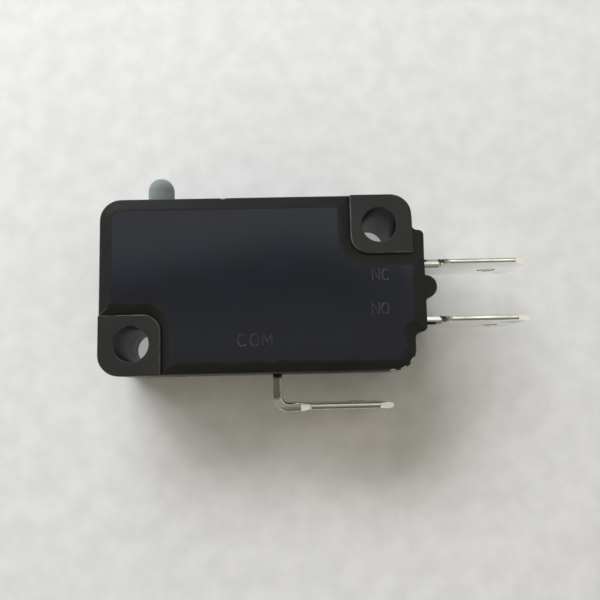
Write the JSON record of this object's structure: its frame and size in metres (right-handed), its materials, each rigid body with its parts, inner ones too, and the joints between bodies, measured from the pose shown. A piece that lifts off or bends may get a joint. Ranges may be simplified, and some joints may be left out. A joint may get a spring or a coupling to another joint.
{
  "type": "micro switch",
  "caption": "Flat rectangular snap-action switch with a round pin plunger, through mounting holes in corner pads and blade terminals, for sensing doors, levers and cams.",
  "frame": {"origin": "axis of the lower mounting hole, in the plane of the cover's back", "axes": "+X towards the two end terminals, +Y towards the plunger, +Z along the mounting holes and out of the marked face"},
  "size_m": [0.0392, 0.0226, 0.0103],
  "materials": {
    "case_plastic": "satin black moulding",
    "cover_plastic": "satin black moulding",
    "plunger_plastic": "plain grey moulding",
    "plated_strip": "bright tin plate on brass",
    "contact_silver": "silver alloy",
    "arm_strip": "rolled copper alloy strip",
    "lever_strip": "rolled brass strip",
    "spring_wire": "drawn spring steel"
  },
  "bodies": {
    "housing": {"case": "case_plastic", "cover": "cover_plastic", "com_terminal": "plated_strip", "nc_terminal": "plated_strip", "no_terminal": "plated_strip", "nc_contact": "contact_silver", "no_contact": "contact_silver"},
    "plunger_body": {"plunger": "plunger_plastic"},
    "lever_body": {"actuating_lever": "lever_strip"},
    "arm_body": {"contact_arm": "arm_strip", "moving_contact": "contact_silver"},
    "spring_body": {"coil_spring": "spring_wire"}
  },
  "joints": [
    {"name": "plunger_slide", "type": "slide", "parent": "housing", "child": "plunger_body", "axis": [0, -1, 0], "range_m": [0, 0.0021], "stiffness_N_per_m": 1000},
    {"name": "lever_pivot", "type": "hinge", "parent": "housing", "child": "lever_body", "pos_m": [0.0123, 0.0004, 0.00515], "axis": [0, 0, 1], "range_deg": [0, 11.5]},
    {"name": "arm_pivot", "type": "hinge", "parent": "housing", "child": "arm_body", "pos_m": [0.0082, 0.005, 0.00515], "axis": [0, 0, 1], "range_deg": [-4.4, 0]},
    {"name": "spring_hook", "type": "hinge", "parent": "lever_body", "child": "spring_body", "pos_m": [0.0036, 0.006, 0.00515], "axis": [0, 0, 1], "range_deg": [-5.5, 0], "deforming": ["coil_spring"]}
  ],
  "couplings": [
    {"joint": "lever_pivot", "follows": "plunger_slide", "rad_per_m": 94},
    {"joint": "arm_pivot", "follows": "plunger_slide", "rad_per_m": -35.2},
    {"joint": "spring_hook", "follows": "plunger_slide", "rad_per_m": -44.5}
  ]
}
